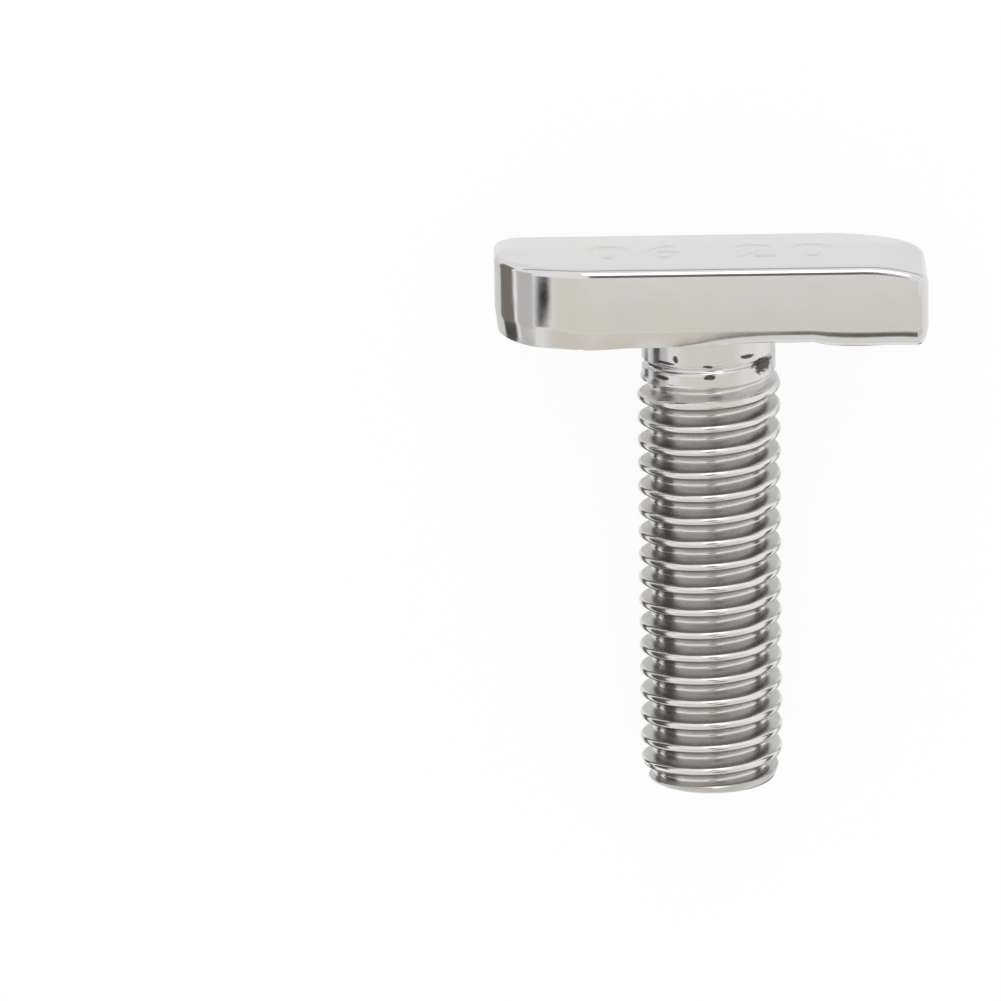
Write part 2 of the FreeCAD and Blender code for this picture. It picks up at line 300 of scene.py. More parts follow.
class StampLook(bpy.types.PropertyGroup):
    """The numbers pressed into the head's top."""

    numbers: StringProperty(
        name="Numbers", description="The bolt's diameter and length in millimetres", default="06 20"
    )
    height: length("Number height", "Height of the numbers", 2.8)
    depth: length("Stamp depth", "How deep the numbers are pressed in", 0.045)
    wall: length("Wall", "Width of the stamp's soft walls", 0.1)
    spacing: amount("Spacing", "Room from one number to the next", 1.3)
    cuts: IntProperty(name="Cuts", description="Cuts across each part of the stamped field", default=72)


class SteelLook(bpy.types.PropertyGroup):
    """The polished stainless steel."""

    warm: colour("Warm steel", "The steel's main colour", (0.79, 0.785, 0.77))
    cool: colour("Cool steel", "The steel's drift to grey-lilac", (0.78, 0.77, 0.775))
    crest: colour("Crest", "The thread's burnished crests", (0.86, 0.85, 0.83))
    # The film is partly the rolled flanks' duller finish and partly painted shade in the thread's
    # grooves
    film: colour("Film", "Dull film left on the thread's flanks", (0.57, 0.555, 0.53))
    # This colour darkens the dark spots on the neck and, as painted shade, the right of the flanks that
    # face the point
    dark_spots_and_painted_shade: colour("Soot", "Dark spots left on the neck", (0.05, 0.048, 0.045))
    # Painted shade: the shade colour darkens the thread's flanks that face the point
    shade: colour("Shade", "Dark film on the thread's flanks that face the point", (0.22, 0.213, 0.20))
    polish: amount("Polish", "Roughness of the polished head", 0.11)
    rolled: amount("Rolled", "Roughness of the rolled thread", 0.17)


class StageLook(bpy.types.PropertyGroup):
    """The floor, the light and the camera."""

    distance: length("Camera distance", "From the camera to the bolt", 400.0)
    rise: angle("Camera rise", "How far the camera looks down on the upright bolt", 16.5)
    roll: angle("Camera roll", "The camera's roll", 0.82)
    scale: amount("Scale", "Pixels of the picture for one millimetre at the bolt", 23.75)
    left: length("Target left", "How far left of the bolt's axis the picture's middle is", 8.81)
    below: length("Target below", "How far under the head the picture's middle is", 7.735)
    floor: colour("Floor", "The floor's colour", (0.97, 0.97, 0.97))
    room_dark: colour("Room by the point", "The room's colour beyond the point", (0.80, 0.79, 0.77))
    room_pale: colour("Room by the head", "The room's colour beyond the head", (0.90, 0.90, 0.90))
    lamp_size: length("Lamp size", "Side of the soft square lamp", 300.0)
    lamp_power: amount("Lamp power", "Power of the soft lamp in watts", 0.34)


def deselect():
    """Leaves nothing selected and nothing in edit mode."""
    if bpy.context.object and bpy.context.object.mode != "OBJECT":
        bpy.ops.object.mode_set(mode="OBJECT")
    bpy.ops.object.select_all(action="DESELECT")


def take(thing):
    """Makes one object the only selected one and the active one."""
    deselect()
    thing.select_set(True)
    bpy.context.view_layer.objects.active = thing


def edit(thing):
    """Opens an object in edit mode with everything selected."""
    take(thing)
    bpy.ops.object.mode_set(mode="EDIT")
    bpy.ops.mesh.select_all(action="SELECT")


def pick(thing, kind, test):
    """In edit mode, selects only the faces or edges for which the test holds."""
    bpy.ops.mesh.select_mode(type=kind)
    bpy.ops.mesh.select_all(action="DESELECT")
    mesh = bmesh.from_edit_mesh(thing.data)
    mesh.normal_update()
    parts = mesh.faces if kind == "FACE" else mesh.edges
    chosen = [part for part in parts if test(part)]
    if not chosen:
        raise RuntimeError(f"nothing to select on {thing.name}")
    for part in chosen:
        part.select_set(True)
    bmesh.update_edit_mesh(thing.data)


def round_edges(thing, test, radius, faces):
    """In edit mode, rounds the edges for which the test holds."""
    pick(thing, "EDGE", test)
    bpy.ops.mesh.bevel(offset=radius, segments=faces, affect="EDGES")


def cut_faces(thing, test, spot, way):
    """In edit mode, cuts the faces for which the test holds along a plane."""
    pick(thing, "FACE", test)
    bpy.ops.mesh.bisect(plane_co=spot, plane_no=way)


def apply_modifiers(thing):
    """Applies every modifier of an object, in order."""
    take(thing)
    for modifier in list(thing.modifiers):
        bpy.ops.object.modifier_apply(modifier=modifier.name)


def lying_down(sizes):
    """The turn and the move that lay the upright bolt down, worked out as in the bolt's source."""
    half = sizes.head_width / 2
    first = sizes.groove_start + FIRST_CREST * sizes.pitch
    flat = SOURCE_FLAT * sizes.pitch / 2
    room = sizes.shank_length - sizes.point_length - flat - first
    touch = first + math.floor(room / sizes.pitch) * sizes.pitch + flat
    lean = math.atan2(half - sizes.thread_diameter / 2, touch + sizes.foot)
    turn = Matrix.Rotation(lean - math.pi / 2, 4, "X")
    lowest = (turn @ Vector((0, half, sizes.foot))).z
    slope = math.atan2(sizes.front_thickness - sizes.back_thickness, sizes.head_width)
    below = sizes.rim * (math.tan(slope) + 1 / math.cos(slope))
    far = (turn @ Vector((0, sizes.rim - half, sizes.front_thickness - below))).y + sizes.rim
    tip = (turn @ Vector((0, -sizes.point_diameter / 2, -sizes.shank_length))).y
    return Matrix.Translation((0, -(far + tip) / 2, -lowest)) @ turn


def arc_points(across, up, radius, start, end):
    """Points on an arc of the tooth, from one angle to another."""
    points = []
    for number in range(ARC_FACES + 1):
        turn = start + (end - start) * number / ARC_FACES
        points.append(Vector((across + radius * math.cos(turn), 0, up + radius * math.sin(turn))))
    return points


def tooth_points(sizes):
    """One tooth, from the middle of a root up over the crest to the middle of the next root."""
    pitch = sizes.pitch
    crest = sizes.thread_diameter / 2
    depth = GROOVE_DEPTH * pitch * math.sqrt(3) / 2
    root = crest - depth
    crest_half = CREST_FLAT * pitch / 2
    root_half = pitch / 2 - crest_half - depth * math.tan(FLANK_LEAN)
    bend = math.pi / 2 - FLANK_LEAN
    crest_in = sizes.crest_round * math.tan(bend / 2)
    root_in = sizes.root_round * math.tan(bend / 2)
    low_in = root_half - root_in - pitch / 2
    low_root = arc_points(root + sizes.root_round, low_in, sizes.root_round, math.pi, math.pi - bend)
    high_in = crest_in - crest_half
    low_crest = arc_points(crest - sizes.crest_round, high_in, sizes.crest_round, -bend, 0)
    flank = []
    for number in range(1, FLANK_FACES):
        flank.append(low_root[-1].lerp(low_crest[0], number / FLANK_FACES))
    lower = [Vector((root, 0, -pitch / 2))] + low_root + flank + low_crest
    upper = [Vector((point.x, 0, -point.z)) for point in reversed(lower)]
    return lower + upper


def extrude_line(name, points):
    """A chain of edges through the points, drawn from one point by extruding it again and again."""
    deselect()
    bpy.ops.mesh.primitive_plane_add(size=MM, location=(0, 0, 0))
    line = bpy.context.object
    line.name = name
    bpy.ops.object.mode_set(mode="EDIT")
    bpy.ops.mesh.select_mode(type="VERT")
    bpy.ops.mesh.select_all(action="SELECT")
    bpy.ops.mesh.merge(type="CENTER")
    bpy.ops.transform.translate(value=points[0])
    for start, end in zip(points, points[1:]):
        bpy.ops.mesh.extrude_region_move(TRANSFORM_OT_translate={"value": end - start})
    bpy.ops.object.mode_set(mode="OBJECT")
    return line


def blank_radius(sizes, height):
    """The turned blank's radius at a height: the throat, the neck, the shoulder and the point."""
    neck = sizes.neck_diameter / 2
    crest = sizes.thread_diameter / 2
    # The throat's arc stops a little short of the underside, so that the two meet at an angle
    reach = sizes.throat * THROAT_SHARE
    above = min(height + reach, reach)
    if above > 0:
        return neck + sizes.throat - math.sqrt(sizes.throat**2 - above**2)
    if height > -sizes.neck_length:
        return neck
    shoulder = (-sizes.neck_length - height) / sizes.shoulder
    if shoulder < 1:
        return neck + (crest - neck) * shoulder
    from_end = height + sizes.shank_length
    if from_end > sizes.point_length:
        return crest
    point = sizes.point_diameter / 2
    radius = point + (crest - point) * from_end / sizes.point_length
    into = max(0, sizes.point_round - max(from_end, 0))
    return radius - (sizes.point_round - math.sqrt(sizes.point_round**2 - into**2))


def first_crest(sizes):
    """The height of the first full crest at the right of the bolt."""
    return -sizes.groove_start - CREST_LAG * sizes.pitch


def roll_thread(sizes, shank):
    """Moves the swept thread's points onto the blank where it is slimmer, and fades the run-out."""
    crest_height = first_crest(sizes)
    for point in shank.data.vertices:
        across = math.hypot(point.co.x, point.co.y)
        turned = math.atan2(point.co.y, point.co.x) % math.tau / math.tau
        at = (point.co.z - crest_height) / sizes.pitch - turned
        groove = crest_height + (math.floor(at) + 0.5 + turned) * sizes.pitch
        lift = max(0, groove + sizes.groove_start) / sizes.pitch * sizes.runout_rise
        radius = min(across + lift, blank_radius(sizes, point.co.z))
        point.co.x *= radius / across
        point.co.y *= radius / across


def cut_flat(thing, height, keep_below):
    """Cuts a closed shape level at a height, keeps one side and fills the cut."""
    edit(thing)
    bpy.ops.mesh.bisect(
        plane_co=(0, 0, height),
        plane_no=UP,
        use_fill=True,
        clear_outer=keep_below,
        clear_inner=not keep_below,
        threshold=SAME / 10,
    )
    bpy.ops.object.mode_set(mode="OBJECT")


def make_shank(sizes):
    """The threaded shank: one tooth repeated down the bolt and swept round by a turn of a screw."""
    # The shank reaches a third of the way up into the head
    top = sizes.front_thickness / 3
    teeth = math.ceil((sizes.shank_length + top) / sizes.pitch) + SPARE_TEETH
    first = first_crest(sizes)
    while first < top + sizes.pitch:
        first += sizes.pitch
    points = [point + Vector((0, 0, first)) for point in tooth_points(sizes)]
    shank = extrude_line("shank", points)
    rows = shank.modifiers.new("Teeth", "ARRAY")
    rows.count = teeth
    rows.use_relative_offset = False
    rows.use_constant_offset = True
    rows.constant_offset_displace = (0, 0, -sizes.pitch)
    rows.use_merge_vertices = True
    rows.merge_threshold = SAME
    sweep = shank.modifiers.new("Turn", "SCREW")
    sweep.axis = "Z"
    sweep.angle = math.tau
    sweep.screw_offset = sizes.pitch
    sweep.steps = sizes.steps
    sweep.render_steps = sizes.steps
    apply_modifiers(shank)
    edit(shank)
    bpy.ops.mesh.remove_doubles(threshold=SAME)
    bpy.ops.mesh.normals_make_consistent(inside=False)
    bpy.ops.object.mode_set(mode="OBJECT")
    roll_thread(sizes, shank)
    cut_flat(shank, top, True)
    cut_flat(shank, -sizes.shank_length, False)
    return shank


def corner_edges(x, y):
    """The test for the head's upright edge at one corner."""

    def test(edge):
        return all(abs(end.co.x - x) < SAME and abs(end.co.y - y) < SAME for end in edge.verts)

    return test


def rim_edges(up):
    """The test for the edges round the head's top, or its underside where up is -1."""

    def test(edge):
        return sum(face.normal.z * up > LEVEL for face in edge.link_faces) == 1

    return test


def level_top(face):
    """The test for the faces of the head's nearly level top."""
    return face.normal.z > LEVEL


def make_head(sizes, stamp):
    """The hammer head: a sloping slab with four unlike corners, a rounded rim and a stamped top."""
    tree, field = number_shapes(stamp)
    top = sizes.front_thickness
    deselect()
    bpy.ops.mesh.primitive_cube_add(
        size=1,
        location=(0, 0, top / 2),
        scale=(sizes.head_length, sizes.head_width, top),
    )
    head = bpy.context.object
    head.name = "head"
    bpy.ops.object.transform_apply(location=True, rotation=True, scale=True)
    bpy.ops.object.mode_set(mode="EDIT")
    pick(head, "EDGE", lambda edge: all(end.co.y > 0 and end.co.z > top / 2 for end in edge.verts))
    bpy.ops.transform.translate(value=(0, 0, sizes.back_thickness - top))
    right = sizes.head_length / 2
    back = sizes.head_width / 2
    corners = (
        (-right, -back, sizes.broad_corner, BROAD_FACES),
        (right, back, sizes.broad_corner, BROAD_FACES),
        (-right, back, sizes.small_corner, SMALL_FACES),
        (right, -back, sizes.tight_corner, TIGHT_FACES),
    )
    for x, y, radius, faces in corners:
        round_edges(head, corner_edges(x, y), radius, faces)
    round_edges(head, rim_edges(1), sizes.rim, RIM_FACES)
    round_edges(head, rim_edges(-1), sizes.foot, RIM_FACES)
    cut_field(head, field)
    pick(head, "FACE", lambda face: level_top(face) and inside(field, face.calc_center_median()))
    bpy.ops.mesh.subdivide(number_cuts=stamp.cuts)
    cut_foot(head, sizes)
    cut_corner(head)
    bpy.ops.object.mode_set(mode="OBJECT")
    press_numbers(head, stamp, tree, field)
    sink_corner(head, sizes)
    shape_foot(head, sizes)
    head.data.transform(Matrix.Translation((sizes.offset, 0, 0)))
    return head


def straight_out(sizes, x, y):
    """How far a point of the head's plan is inside the outline, and the way straight out."""
    radii = {
        (False, False): sizes.broad_corner,
        (True, True): sizes.broad_corner,
        (False, True): sizes.small_corner,
        (True, False): sizes.tight_corner,
    }
    radius = radii[(x > 0, y > 0)]
    past_x = abs(x) + radius - sizes.head_length / 2
    past_y = abs(y) + radius - sizes.head_width / 2
    past = Vector((past_x, past_y, 0))
    if past.x > 0 and past.y > 0:
        way = past.normalized()
        room = radius - past.length
    elif past.x > past.y:
        way = Vector(RIGHT)
        room = radius - past.x
    else:
        way = Vector(BACK)
        room = radius - past.y
    return room, Vector((math.copysign(way.x, x), math.copysign(way.y, y), 0))


def ease(value, low, high):
    """A smooth step from 0 at the low value to 1 at the high one."""
    share = min(max((value - low) / (high - low), 0), 1)
    return share * share * (3 - 2 * share)


def ease_mm(value, limits):
    """A smooth step between two limits that are given in millimetres."""
    low, high = limits
    return ease(value, low * MM, high * MM)


def cut_foot(head, sizes):
    """Cuts a ring into the underside, and the lower rim across at even steps."""

    def under(face):
        return face.normal.z < -LEVEL and face.calc_center_median().z < SAME

    def low_rim(face):
        return face.normal.z < -FALLS and face.calc_center_median().z < sizes.foot

    pick(head, "FACE", under)
    bpy.ops.mesh.inset(thickness=FOOT_RING * sizes.foot)
    step = sizes.head_length / FOOT_CUTS
    for number in range(1, FOOT_CUTS):
        cut_faces(head, low_rim, (number * step - sizes.head_length / 2, 0, 0), RIGHT)


def cut_corner(head):
    """Cuts the top and its rim across at the right, so that they can sink smoothly."""
    edge = SINK_RIGHT[0] * MM

    def reaching(face):
        return face.normal.z > RISES and max(point.co.x for point in face.verts) > edge + SAME

    def beyond(face):
        return reaching(face) and face.calc_center_median().x > edge

    for x in SINK_ACROSS:
        cut_faces(head, reaching, (x * MM, 0, 0), RIGHT)
    for y in SINK_ALONG:
        cut_faces(head, beyond, (0, y * MM, 0), BACK)


def sink_corner(head, sizes):
    """Lets the top sink toward its front right corner, which the forging die didn't quite fill."""
    low, high = SINK_RIGHT
    for point in head.data.vertices:
        if point.co.z > sizes.back_thickness / 2:
            share = min(max((point.co.x / MM - low) / (high - low), 0), 1)
            point.co.z -= sizes.sink * share * share * ease_mm(-point.co.y, SINK_FRONT)


def shape_foot(head, sizes):
    """Makes the lower rim taller at the front, a steep bevel at its left, with a lip at both ends."""
    fast, slow = FOOT_WAVE_PACE
    for point in head.data.vertices:
        x, y, z = point.co
        room, way = straight_out(sizes, x, y)
        if z > sizes.foot + SAME or room > sizes.foot + SAME:
            continue
        farther = CORNER_REACH * MM * ease_mm(-x, FOOT_CORNER)
        front = 1 - ease_mm(y - farther, FOOT_END)
        blunt = ease_mm(x, FOOT_ROUND)
        blunt += FOOT_WAVE * math.sin(x / MM * fast) * math.sin(x / MM * slow + 1)
        bevel = BEVEL_LEAN * (sizes.foot - z)
        low = (1 - z / sizes.foot) * front
        lip = sizes.lip * (ease_mm(x, LIP_RIGHT) + ease_mm(-x, LIP_LEFT))
        lip += LIP_WAVE * MM * math.sin(x / MM * LIP_WAVE_PACE)
        point.co += way * (room - bevel) * front * (1 - blunt)
        point.co.z = z * (1 + FOOT_RISE * front) - low * lip


def inside(field, point):
    """Whether a point lies over the field."""
    left, right, front, back = field
    return left - SAME < point.x < right + SAME and front - SAME < point.y < back + SAME


def cut_field(head, field):
    """Cuts the outline of the field, and two cuts across it, into the head's top."""
    left, right, front, back = field
    third = (right - left) / 3
    for x in (left, left + third, right - third, right):
        cut_faces(head, level_top, (x, 0, 0), RIGHT)
    for y in (front, back):
        cut_faces(head, level_top, (0, y, 0), BACK)


def number_shapes(stamp):
    """The flat numbers as a search tree, and their field: its left, right, front and back."""
    deselect()
    bpy.ops.object.text_add(location=(0, 0, 0))
    text = bpy.context.object
    text.data.body = stamp.numbers
    text.data.space_character = stamp.spacing
    bpy.ops.object.convert(target="MESH")
    flat = bpy.context.object
    spots = [point.co.copy() for point in flat.data.vertices]
    low = Vector((min(spot.x for spot in spots), min(spot.y for spot in spots), 0))
    high = Vector((max(spot.x for spot in spots), max(spot.y for spot in spots), 0))
    middle = (low + high) / 2
    size = stamp.height / (high.y - low.y)
    stretch = Matrix.Diagonal((size * NUMBER_STRETCH, size, 1, 1))
    flat.data.transform(stretch @ Matrix.Translation(-middle))
    spots = [point.co for point in flat.data.vertices]
    tree = BVHTree.FromPolygons(spots, [face.vertices for face in flat.data.polygons])
    bpy.data.objects.remove(flat)
    room = NUMBER_ROOM * stamp.wall
    right = (high.x - low.x) * size * NUMBER_STRETCH / 2 + room
    back = stamp.height / 2 + room
    return tree, (-right, right, -back, back)


def press_numbers(head, stamp, tree, field):
    """Presses the numbers into the field, with a flat floor and soft walls."""
    for point in head.data.vertices:
        if not inside(field, point.co) or point.normal.z < LEVEL:
            continue
        flat = Vector((point.co.x, point.co.y, 0))
        away = (tree.find_nearest(flat)[0] - flat).length
        point.co.z -= stamp.depth * (1 - ease(away, 0, stamp.wall))


def check_closed(thing):
    """Stops the script where a shape has an open edge."""
    mesh = bmesh.new()
    mesh.from_mesh(thing.data)
    loose = sum(not edge.is_manifold for edge in mesh.edges)
    mesh.free()
    if loose:
        raise RuntimeError(f"{thing.name} isn't closed: {loose} open edges")


def forge(head, shank):
    """Joins the head and the shank into one closed piece."""
    check_closed(head)
    check_closed(shank)
    join = head.modifiers.new("Join", "BOOLEAN")
    join.operation = "UNION"
    join.solver = "EXACT"
    join.object = shank
    apply_modifiers(head)
    bpy.data.objects.remove(shank)
    check_closed(head)
    return head


def finish_shape(bolt, sizes):
    """Shades the bolt smooth, with true normals on its flat faces, and lays it down."""
    take(bolt)
    bpy.ops.object.shade_smooth_by_angle(angle=SMOOTH_ANGLE)
    weights = bolt.modifiers.new("Weights", "WEIGHTED_NORMAL")
    weights.keep_sharp = True
    apply_modifiers(bolt)
    bolt.data.transform(lying_down(sizes))
    bolt.name = "polished_bolt"
    bolt.data.name = "polished_bolt"


class Tone:
    """A shader socket that values and other sockets are added to, taken from or multiplied by."""

    def __init__(self, tree, socket):
        self.tree = tree
        self.socket = socket

    def reckon(self, operation, *values):
        """A Math node's output."""
        node = self.tree.nodes.new("ShaderNodeMath")
        node.operation = operation
        for place, value in zip(node.inputs, values):
            plug(self.tree, place, value)
        return Tone(self.tree, node.outputs[0])

    def __add__(self, other):
        return self.reckon("ADD", self, other)

    def __radd__(self, other):
        return self.reckon("ADD", other, self)

    def __sub__(self, other):
        return self.reckon("SUBTRACT", self, other)

    def __rsub__(self, other):
        return self.reckon("SUBTRACT", other, self)

    def __mul__(self, other):
        return self.reckon("MULTIPLY", self, other)

    def __rmul__(self, other):
        return self.reckon("MULTIPLY", other, self)

    def root(self):
        return self.reckon("POWER", self, 0.5)

    def fraction(self):
        return self.reckon("FRACT", self)

    def bearing(self, other):
        """The angle whose tangent is this one over the other."""
        return self.reckon("ARCTAN2", self, other)

    def at_most(self, limit):
        return self.reckon("MINIMUM", self, limit)


def plug(tree, place, value):
    """Sets a socket to a value, or links it to another socket."""
    if isinstance(value, Tone):
        tree.links.new(value.socket, place)
    else:
        place.default_value = value


class Palette:
    """Adds nodes to one material's or world's tree."""

    def __init__(self, tree):
        self.tree = tree
        tree.nodes.clear()

    def add(self, kind, settings=None, sockets=None, output=0):
        """A new node's output, or several by their names, its settings made before its sockets."""
        node = self.tree.nodes.new(kind)
        for name, value in (settings or {}).items():
            setattr(node, name, value)
        for name, value in (sockets or {}).items():
            plug(self.tree, node.inputs[name], value)
        if isinstance(output, tuple):
            return [Tone(self.tree, node.outputs[name]) for name in output]
        return Tone(self.tree, node.outputs[output]) if len(node.outputs) else None

    def noise(self, place, scale, detail, roughness=0.5, distortion=0.0):
        """Soft noise, about 0.5 on the whole."""
        return self.add(
            "ShaderNodeTexNoise",
            None,
            {
                "Vector": place,
                "Scale": scale,
                "Detail": detail,
                "Roughness": roughness,
                "Distortion": distortion,
            },
        )

    def spread(self, value, low, high, to_low=0.0, to_high=1.0):
        """A value mapped smoothly from one range to another, and held at its ends."""
        return self.add(
            "ShaderNodeMapRange",
            {"interpolation_type": "SMOOTHSTEP"},
            {"Value": value, "From Min": low, "From Max": high, "To Min": to_low, "To Max": to_high},
        )

    def blend(self, share, first, second):
        """Two colours mixed."""
        sockets = {0: share, 6: first, 7: second}
        return self.add("ShaderNodeMix", {"data_type": "RGBA"}, sockets, output=2)

    def scaled(self, place, stretch):
        """A pattern's place, stretched."""
        return self.add("ShaderNodeMapping", None, {"Vector": place, "Scale": stretch})

    def parts(self, place):
        """The three numbers of a place."""
        return self.add("ShaderNodeSeparateXYZ", None, {"Vector": place}, ("X", "Y", "Z"))


def new_material(name):
    """An empty material and the palette for its nodes."""
    material = bpy.data.materials.new(name)
    material.use_nodes = True
    return material, Palette(material.node_tree)


def solid(value):
    """A colour with its alpha."""
    return (*value, 1.0)


def neck_spots(nodes, place, x, z):
    """Where the ragged spots are, as if they went right through the neck."""
    torn = nodes.scaled(place, SPOT_STRETCH)
    rag = nodes.noise(torn, scale=2.6, detail=4.0, roughness=0.6, distortion=0.5)
    rag = rag * SPOT_RAG - SPOT_RAG / 2
    spots = 0.0
    for right, up, wide, high in SPOTS:
        aside = (x - right) * (1 / wide)
        over = (z - up) * (1 / high)
        spots = spots + nodes.spread(aside * aside + over * over + rag, *SPOT_EDGE)
    return spots


def steel_relief(nodes, place, on_shank):
    """The normal of faintly uneven steel: a swell, a ripple, polishing lines and a fine grain."""
    swell = nodes.noise(place, scale=0.42, detail=1.0)
    ripple = nodes.noise(place, scale=2.2, detail=2.0)
    lines = nodes.noise(nodes.scaled(place, LINE_STRETCH), scale=3.0, detail=3.0)
    grain = nodes.noise(place, scale=14.0, detail=3.0)
    smooth = swell * SWELL + ripple * RIPPLE + lines * LINES
    height = smooth + grain * (GRAIN + on_shank * SHANK_GRAIN)
    return nodes.add("ShaderNodeBump", None, {"Strength": 1.0, "Distance": MM, "Height": height})


def polished_steel(sizes, look):
    """Stainless steel: a soft polish on the head, and a duller rolled thread with filmed flanks that
    carry painted shade, and dark spots on the neck.
    """
    material, nodes = new_material("polished_stainless")
    lying = lying_down(sizes)
    upright = nodes.add(
        "ShaderNodeMapping",
        {"vector_type": "TEXTURE"},
        {
            "Vector": nodes.add("ShaderNodeTexCoord", output="Object"),
            "Location": lying.to_translation(),
            "Rotation": lying.to_euler(),
        },
    )
    place = nodes.scaled(upright, (1 / MM, 1 / MM, 1 / MM))
    x, y, z = nodes.parts(place)
    across = (x * x + y * y).root()
    on_shank = nodes.spread(z, *ON_SHANK)
    on_thread = nodes.spread(z, *ON_THREAD)
    crest = nodes.spread(across, *ON_CREST) * on_thread
    flank = nodes.spread(across, *FLANK_OUT) * nodes.spread(across, *FLANK_IN) * on_thread
    # The turns of the thread counted up the bolt: 0 at a crest's middle, 0.5 at a root's
    climb = (z - first_crest(sizes) / MM) * (MM / sizes.pitch) - y.bearing(x) * (1 / math.tau)
    turn = climb.fraction()
    # lower is the band of painted shade on the flanks that face the point
    lower = nodes.spread(turn, *SHADE_FROM) * nodes.spread(turn, *SHADE_TO) * on_thread
    drift = nodes.spread(nodes.noise(place, scale=0.22, detail=3.0), *DRIFT_EDGE)
    smear = nodes.noise(place, scale=0.9, detail=4.0, roughness=0.65, distortion=0.6)
    # The flanks' film: a duller rolled finish whose darker colour is partly painted shade in the
    # grooves
    film = flank * (THIN_FILM + (1 - THIN_FILM) * nodes.spread(smear, *FILM_EDGE))
    # More painted shade on the flanks that face the point, toward the right
    painted_shade_wedge = lower * nodes.spread(x, *WEDGE_RIGHT) * WEDGE_SHARE
    spots = neck_spots(nodes, place, x, z) * nodes.spread(y, *SPOT_FRONT)
    # The dark spots on the neck and the painted shade toward the right share one dark colour
    dark_spots_and_painted_shade = (spots + painted_shade_wedge).at_most(1.0) * DARK_SPOTS_AND_SHADE_SHARE
    steel = nodes.blend(drift, solid(look.warm), solid(look.cool))
    burnished = nodes.blend(crest, steel, solid(look.crest))
    dulled = nodes.blend(film, burnished, solid(look.film))
    shaded = nodes.blend(lower, dulled, solid(look.shade))
    base = nodes.blend(dark_spots_and_painted_shade, shaded, solid(look.dark_spots_and_painted_shade))
    fog = nodes.spread(nodes.noise(place, scale=1.7, detail=3.0), *FOG_EDGE, *FOG_ROUGHNESS)
    clean = look.polish + on_shank * (look.rolled - look.polish) + fog
    roughness = clean + film * FILM_ROUGHNESS + dark_spots_and_painted_shade * DARK_SPOTS_AND_SHADE_ROUGHNESS
    surface = nodes.add(
        "ShaderNodeBsdfPrincipled",
        None,
        {
            "Base Color": base,
            "Roughness": roughness,
            "Metallic": 1.0,
            "Normal": steel_relief(nodes, place, on_shank),
        },
    )
    nodes.add("ShaderNodeOutputMaterial", None, {"Surface": surface})
    return material


def floor_material(look):
    """The pale floor: nearly white to the camera, and with more of the bolt's shadow in the steel."""
    material, nodes = new_material("pale_floor")
    rays = ("Is Camera Ray", "Is Glossy Ray", "Is Transmission Ray")
    seen, mirrored, through = nodes.add("ShaderNodeLightPath", output=rays)
    shown = seen * FLOOR_SHOWN + (mirrored + through) * FLOOR_IN_STEEL
    matt = nodes.add("ShaderNodeBsdfDiffuse", None, {"Color": solid(look.floor)})
    white = nodes.add("ShaderNodeEmission", None, {"Color": (1, 1, 1, 1), "Strength": 1.0})
    surface = nodes.add("ShaderNodeMixShader", None, {0: shown, 1: matt, 2: white})
    nodes.add("ShaderNodeOutputMaterial", None, {"Surface": surface})
    return material


def make_floor(look):
    """A wide level floor."""
    deselect()
    bpy.ops.mesh.primitive_plane_add(size=FLOOR_SIZE, location=(0, 0, 0))
    floor = bpy.context.object
    floor.name = "floor"
    floor.data.materials.append(floor_material(look))


def card_material(name, tint, soft):
    """An even card whose edges fade away."""
    material, nodes = new_material(name)
    aside, up, _ = nodes.parts(nodes.add("ShaderNodeTexCoord", output="UV"))
    cover = 1.0
    for along in (aside, up):
        edge = nodes.spread(along, 0.0, soft) * nodes.spread(1 - along, 0.0, soft)
        cover = edge * cover
    clear = nodes.add("ShaderNodeBsdfTransparent", None, {"Color": (1, 1, 1, 1)})
    glow = nodes.add("ShaderNodeEmission", None, {"Color": solid(tint), "Strength": 1.0})
    surface = nodes.add("ShaderNodeMixShader", None, {0: cover, 1: clear, 2: glow})
    nodes.add("ShaderNodeOutputMaterial", None, {"Surface": surface})
    return material


def make_card(name, middle, turned, size, tint, soft):
    """A card with its middle in one place, turned and sized, left to the steel's reflections alone."""
    deselect()
    bpy.ops.mesh.primitive_plane_add(size=1)
    card = bpy.context.object
    card.name = name
    card.data.transform(Matrix.Translation(middle) @ turned @ Matrix.Diagonal((*size, 1, 1)))
    card.data.materials.append(card_material(name, tint, soft))
    card.visible_camera = False
    card.visible_shadow = False
    card.visible_diffuse = False


def span(limits):
    """The length in metres between two limits in millimetres."""
    low, high = limits
    return (high - low) * MM


def middle_of(*limits):
    """The middle of a box in metres, from its limits or its places in millimetres."""
    return Vector([sum(pair) / len(pair) for pair in limits]) * MM


def make_flags(sizes):
    """The cards that face the bolt's head."""
    lying = lying_down(sizes)
    head = lying @ Vector((0, -sizes.head_width / 2, 0))
    turn = lying.to_3x3()
    for name, where, spans, millimetres, tint, soft in FLAGS:
        aside, rise = (math.radians(number) for number in where)
        away = millimetres * MM
        level = math.cos(rise)
        way = Vector((-math.sin(aside) * level, -math.cos(aside) * level, math.sin(rise)))
        across = Vector((math.cos(aside), -math.sin(aside), 0))
        over = across.cross(way)
        turned = Matrix((turn @ across, turn @ over, turn @ way)).transposed().to_4x4()
        size = [2 * away * math.tan(math.radians(degrees / 2)) for degrees in spans]
        make_card(name, head + turn @ way * away, turned, size, tint, soft)


def make_side_cards():
    """The cards that stand beside the bolt, and those that lie on the floor."""
    for name, x, along, high, tint, soft in STRIPS:
        make_card(name, middle_of((x,), along, high), STANDING, (span(high), span(along)), tint, soft)
    for name, across, along, tint, soft in MATS:
        middle = middle_of(across, along, (MAT_HEIGHT,))
        make_card(name, middle, LYING, (span(across), span(along)), tint, soft)


